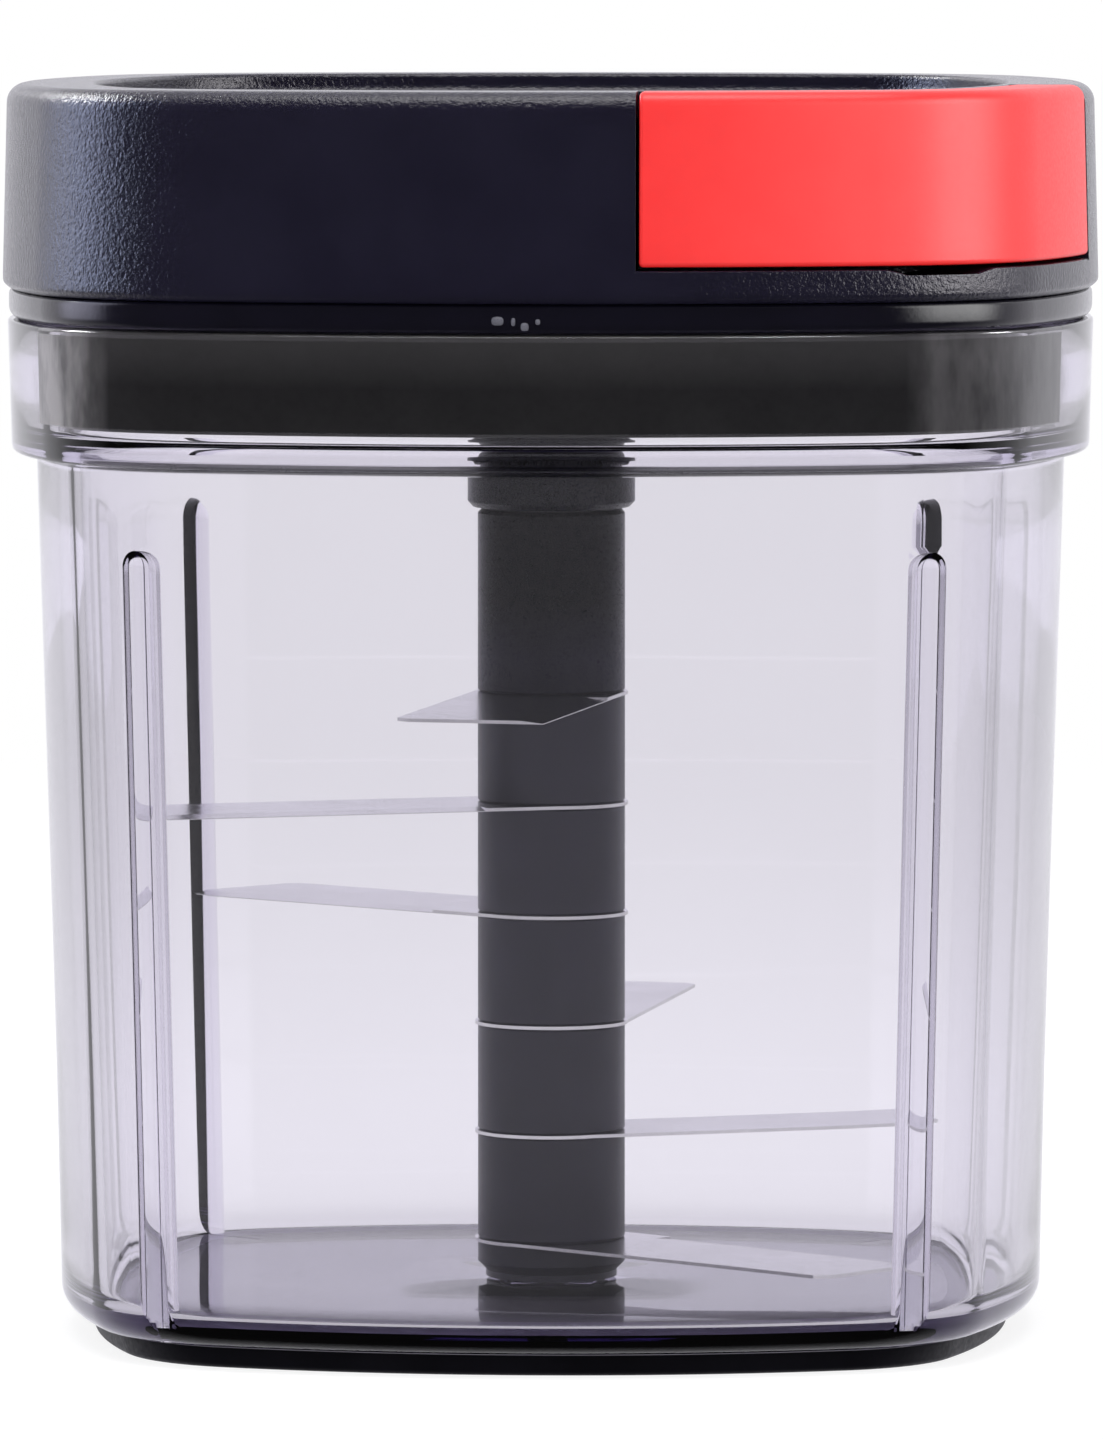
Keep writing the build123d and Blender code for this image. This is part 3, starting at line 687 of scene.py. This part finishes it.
# ------------------------------------------------------------------ finishes of the pieces kept from the frame
KEPT = {
    "lid_chassis": SOCKET, "handle_back": RED, "drive_socket": SOCKET, "top_sleeve": SLEEVE, "end_cap": SHAFT,
    "rotor_core": STEEL, "spindle_pin": STEEL, "foot_bush": PALE, "drive_bush": PALE, "cord_eyelet": PALE,
    "cord_drum": PALE, "ratchet_wheel": PALE, "pawl_1": PALE, "pawl_2": PALE, "spring_arbor": PALE,
    "drive_screw": STEEL, "arbor_screw": STEEL, "arbor_washer": STEEL, "lid_screws": STEEL, "handle_screws": STEEL,
    "pawl_pins": STEEL, "clock_spring": SPRING, "cord_winding": CORD, "cord_inner_run": CORD, "cord_knot": CORD,
}
for k in range(1, 6):
    KEPT[f"spacer_{k}"] = SHAFT
for k in range(1, 7):
    KEPT[f"blade_{k}"] = BLADE
for name, mat in KEPT.items():
    o = NODES[name]
    o.data.materials.clear()
    o.data.materials.append(mat)

# ------------------------------------------------------------------ stage
floor_mesh = bpy.data.meshes.new("floor")
bm = bmesh.new()
bmesh.ops.create_circle(bm, cap_ends=True, segments=128, radius=1.15)
bm.to_mesh(floor_mesh)
bm.free()
floor = bpy.data.objects.new("floor", floor_mesh)
floor.location = (0, 0, -0.00005)
scene.collection.objects.link(floor)
fm, fnt, fb = new_mat("floor_paper")
fb.inputs["Base Color"].default_value = (0.22, 0.22, 0.22, 1)
fb.inputs["Roughness"].default_value = 0.9
fb.inputs["Specular IOR Level"].default_value = 0.0
fb.inputs["Emission Color"].default_value = (1, 1, 1, 1)
flp = fnt.nodes.new("ShaderNodeLightPath")
fnt.links.new(ramp(fnt, flp.outputs["Glossy Depth"], 0, 1, 0.84, 0.6), fb.inputs["Emission Strength"])
far = fnt.nodes.new("ShaderNodeEmission")
fnt.links.new(ramp(fnt, flp.outputs["Glossy Depth"], 0, 1, 1.0, 0.6), far.inputs["Strength"])
fgrad = fnt.nodes.new("ShaderNodeVectorMath")
fgrad.operation = "LENGTH"
fnt.links.new(fnt.nodes.new("ShaderNodeTexCoord").outputs["Object"], fgrad.inputs[0])
fmix = fnt.nodes.new("ShaderNodeMixShader")
fnt.links.new(ramp(fnt, fgrad.outputs["Value"], 0.25, 0.9, 0, 1), fmix.inputs[0])
fnt.links.new(fb.outputs[0], fmix.inputs[1])
fnt.links.new(far.outputs[0], fmix.inputs[2])
fnt.links.new(fmix.outputs[0], next(n for n in fnt.nodes if n.type == "OUTPUT_MATERIAL").inputs["Surface"])
floor.data.materials.append(fm)
floor.visible_glossy = False


def softbox(name, where, aim, size, radiance, colour=(1, 1, 1), diffuse=True, glossy=True, only=None):
    d = bpy.data.lights.new(name, "AREA")
    d.shape = "RECTANGLE"
    d.size, d.size_y = size
    d.energy = radiance * math.pi * size[0] * size[1]
    d.color = colour
    o = bpy.data.objects.new(name, d)
    o.location = where
    o.rotation_euler = (Vector(aim) - Vector(where)).to_track_quat("-Z", "Y").to_euler()
    o.visible_camera = False
    o.visible_transmission = False
    o.visible_diffuse, o.visible_glossy = diffuse, glossy
    d.use_nodes = True
    nt = d.node_tree
    em = next(n for n in nt.nodes if n.type == "EMISSION")
    sep = nt.nodes.new("ShaderNodeSeparateXYZ")
    nt.links.new(nt.nodes.new("ShaderNodeNewGeometry").outputs["Parametric"], sep.inputs[0])
    fall = []
    for axis in "XY":
        up = nt.nodes.new("ShaderNodeMath")
        up.operation = "PINGPONG"
        nt.links.new(sep.outputs[axis], up.inputs[0])
        up.inputs[1].default_value = 0.5
        soft = nt.nodes.new("ShaderNodeMapRange")
        soft.interpolation_type = "SMOOTHSTEP"
        soft.inputs["From Max"].default_value = 0.38
        nt.links.new(up.outputs[0], soft.inputs["Value"])
        fall.append(soft.outputs["Result"])
    both = nt.nodes.new("ShaderNodeMath")
    both.operation = "MULTIPLY"
    nt.links.new(fall[0], both.inputs[0])
    nt.links.new(fall[1], both.inputs[1])
    nt.links.new(both.outputs[0], em.inputs["Strength"])
    scene.collection.objects.link(o)
    if only:
        group = bpy.data.collections.new(name + "_lit")
        for piece in only:
            group.objects.link(piece)
        o.light_linking.receiver_collection = group
    return o


moulded = [cover, grip, NODES["handle_back"], NODES["drive_socket"]]
edged = [cover, grip, ring, bowl]
softbox("box_left", (-1.15, -0.45, 0.45), (0, 0, 0.10), (1.0, 1.4), 3.4, (0.90, 0.92, 1.0), glossy=False)
softbox("box_right", (1.15, -0.35, 0.45), (0, 0, 0.10), (0.9, 1.4), 3.4, (0.94, 0.95, 1.0), glossy=False)
softbox("strip_left", (-1.18, 0.24, 0.40), (0, 0, 0.12), (0.75, 1.6), 7.4, (0.62, 0.70, 1.0), diffuse=False, only=moulded)
softbox("strip_right", (1.19, -0.25, 0.40), (0, 0, 0.12), (1.3, 1.6), 7.0, (1.0, 0.97, 1.0), diffuse=False, only=moulded)
softbox("strip_quarter", (0.80, -0.95, 0.40), (0, 0, 0.12), (1.0, 1.4), 2.6, diffuse=False, only=moulded[1:3])
softbox("strip_ring_left", (-1.18, 0.24, 0.40), (0, 0, 0.12), (1.0, 1.6), 2.6, (0.78, 0.78, 1.0), diffuse=False, only=[ring])
softbox("strip_ring_right", (1.19, -0.25, 0.40), (0, 0, 0.12), (1.5, 1.6), 5.0, diffuse=False, only=[ring])
softbox("glint_left", (-0.90, 0.63, 0.82), (0, 0, 0.12), (0.55, 0.4), 34.0, diffuse=False, only=edged)
softbox("glint_right", (0.90, 0.67, 0.88), (0, 0, 0.12), (0.55, 0.4), 22.0, diffuse=False, only=[ring, bowl])
softbox("glint_front", (0.42, -0.42, 1.33), (0, 0, 0.12), (0.3, 0.3), 22.0, diffuse=False, only=[ring, bowl])
softbox("box_top", (0.0, -0.25, 1.25), (0, 0, 0.10), (1.5, 1.2), 5.0, (1.0, 0.99, 1.0))
softbox("box_key", (-0.45, -1.55, 0.75), (0, 0, 0.10), (0.6, 0.6), 4.0, (1.0, 1.0, 1.0), glossy=False)

world = bpy.data.worlds.new("studio")
scene.world = world
world.use_nodes = True
wn = world.node_tree
wn.nodes.clear()
wo = wn.nodes.new("ShaderNodeOutputWorld")
bg_seen, bg_lit, bg_gloss = (wn.nodes.new("ShaderNodeBackground") for _ in range(3))
bg_seen.inputs["Color"].default_value, bg_seen.inputs["Strength"].default_value = (1, 1, 1, 1), 1.0
bg_lit.inputs["Color"].default_value, bg_lit.inputs["Strength"].default_value = (0.96, 0.96, 1.0, 1), 0.62
bg_gloss.inputs["Color"].default_value = (0.95, 0.94, 1.0, 1)
way = wn.nodes.new("ShaderNodeSeparateXYZ")
wn.links.new(wn.nodes.new("ShaderNodeTexCoord").outputs["Generated"], way.inputs[0])
lp = wn.nodes.new("ShaderNodeLightPath")
depth = wn.nodes.new("ShaderNodeMix")       # light turned back inside the clear bowl meets a paler room
depth.data_type = "FLOAT"


def world_math(kind, a, b, limit=None):
    n = wn.nodes.new("ShaderNodeMath")
    n.operation = kind
    for slot, v in ((0, a), (1, b), (2, limit)):
        if isinstance(v, float):
            n.inputs[slot].default_value = v
        elif v is not None:
            wn.links.new(v, n.inputs[slot])
    return n.outputs[0]


# the plain single reflection in the near wall stays as weak as one on its outside
single = world_math("MULTIPLY", world_math("COMPARE", lp.outputs["Transmission Depth"], 2.0, 0.5),
                    world_math("COMPARE", lp.outputs["Glossy Depth"], 1.0, 0.5))
within = world_math("MINIMUM", lp.outputs["Transmission Depth"], 1.0)
wn.links.new(world_math("SUBTRACT", within, single), depth.inputs[0])
wn.links.new(ramp(wn, way.outputs["Y"], -0.10, 0.62, 0.05, 1.0), depth.inputs[2])
wn.links.new(ramp(wn, way.outputs["Y"], -0.10, 0.62, 0.42, 1.0), depth.inputs[3])
wn.links.new(depth.outputs[0], bg_gloss.inputs["Strength"])
m1, m2 = wn.nodes.new("ShaderNodeMixShader"), wn.nodes.new("ShaderNodeMixShader")
wn.links.new(lp.outputs["Glossy Depth"], m1.inputs[0])
wn.links.new(bg_lit.outputs[0], m1.inputs[1])
wn.links.new(bg_gloss.outputs[0], m1.inputs[2])
turned = wn.nodes.new("ShaderNodeMath")
turned.operation = "ADD"
wn.links.new(lp.outputs["Diffuse Depth"], turned.inputs[0])
wn.links.new(lp.outputs["Glossy Depth"], turned.inputs[1])
seen = wn.nodes.new("ShaderNodeMath")
seen.operation = "LESS_THAN"
wn.links.new(turned.outputs[0], seen.inputs[0])
seen.inputs[1].default_value = 0.5
wn.links.new(seen.outputs[0], m2.inputs[0])
wn.links.new(m1.outputs[0], m2.inputs[1])
wn.links.new(bg_seen.outputs[0], m2.inputs[2])
wn.links.new(m2.outputs[0], wo.inputs["Surface"])
